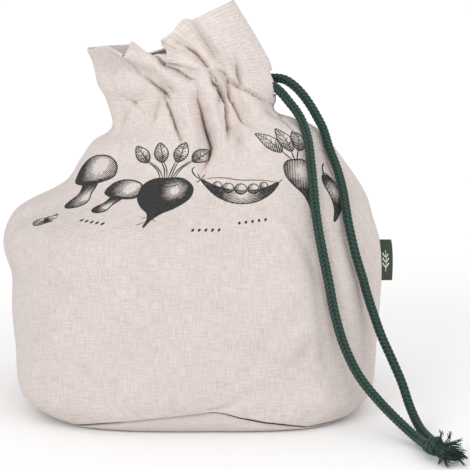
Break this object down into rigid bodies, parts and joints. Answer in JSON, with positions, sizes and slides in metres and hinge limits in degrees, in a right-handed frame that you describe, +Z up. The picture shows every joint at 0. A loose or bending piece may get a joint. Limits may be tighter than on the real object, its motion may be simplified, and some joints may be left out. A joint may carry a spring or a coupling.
{
  "type": "drawstring vegetable bag",
  "caption": "Filled cloth drawstring bag with a rounded body, flat base, gathered neck and frill, knotted cord with a frayed end and a folded side label.",
  "frame": {"origin": "on the floor under the middle of the base", "axes": "+Z up, front towards -Y, the side seam with the cord and the label at +X"},
  "size_m": [0.3515, 0.3036, 0.307],
  "materials": {
    "linen": "plain weave, pale pinkish beige, matt",
    "cord": "braided cotton, dark green, matt",
    "tape": "woven tape, dark olive green, matt"
  },
  "bodies": {
    "root": {"front_panel": "linen", "back_panel": "linen", "base_panel": "linen", "drawstring_channel": "linen", "header_frill": "linen", "drawcord_loop": "cord", "cord_strand_upper": "cord", "cord_strand_lower": "cord", "cord_knot": "cord", "cord_frayed_end": "cord", "side_label": "tape"}
  },
  "joints": []
}
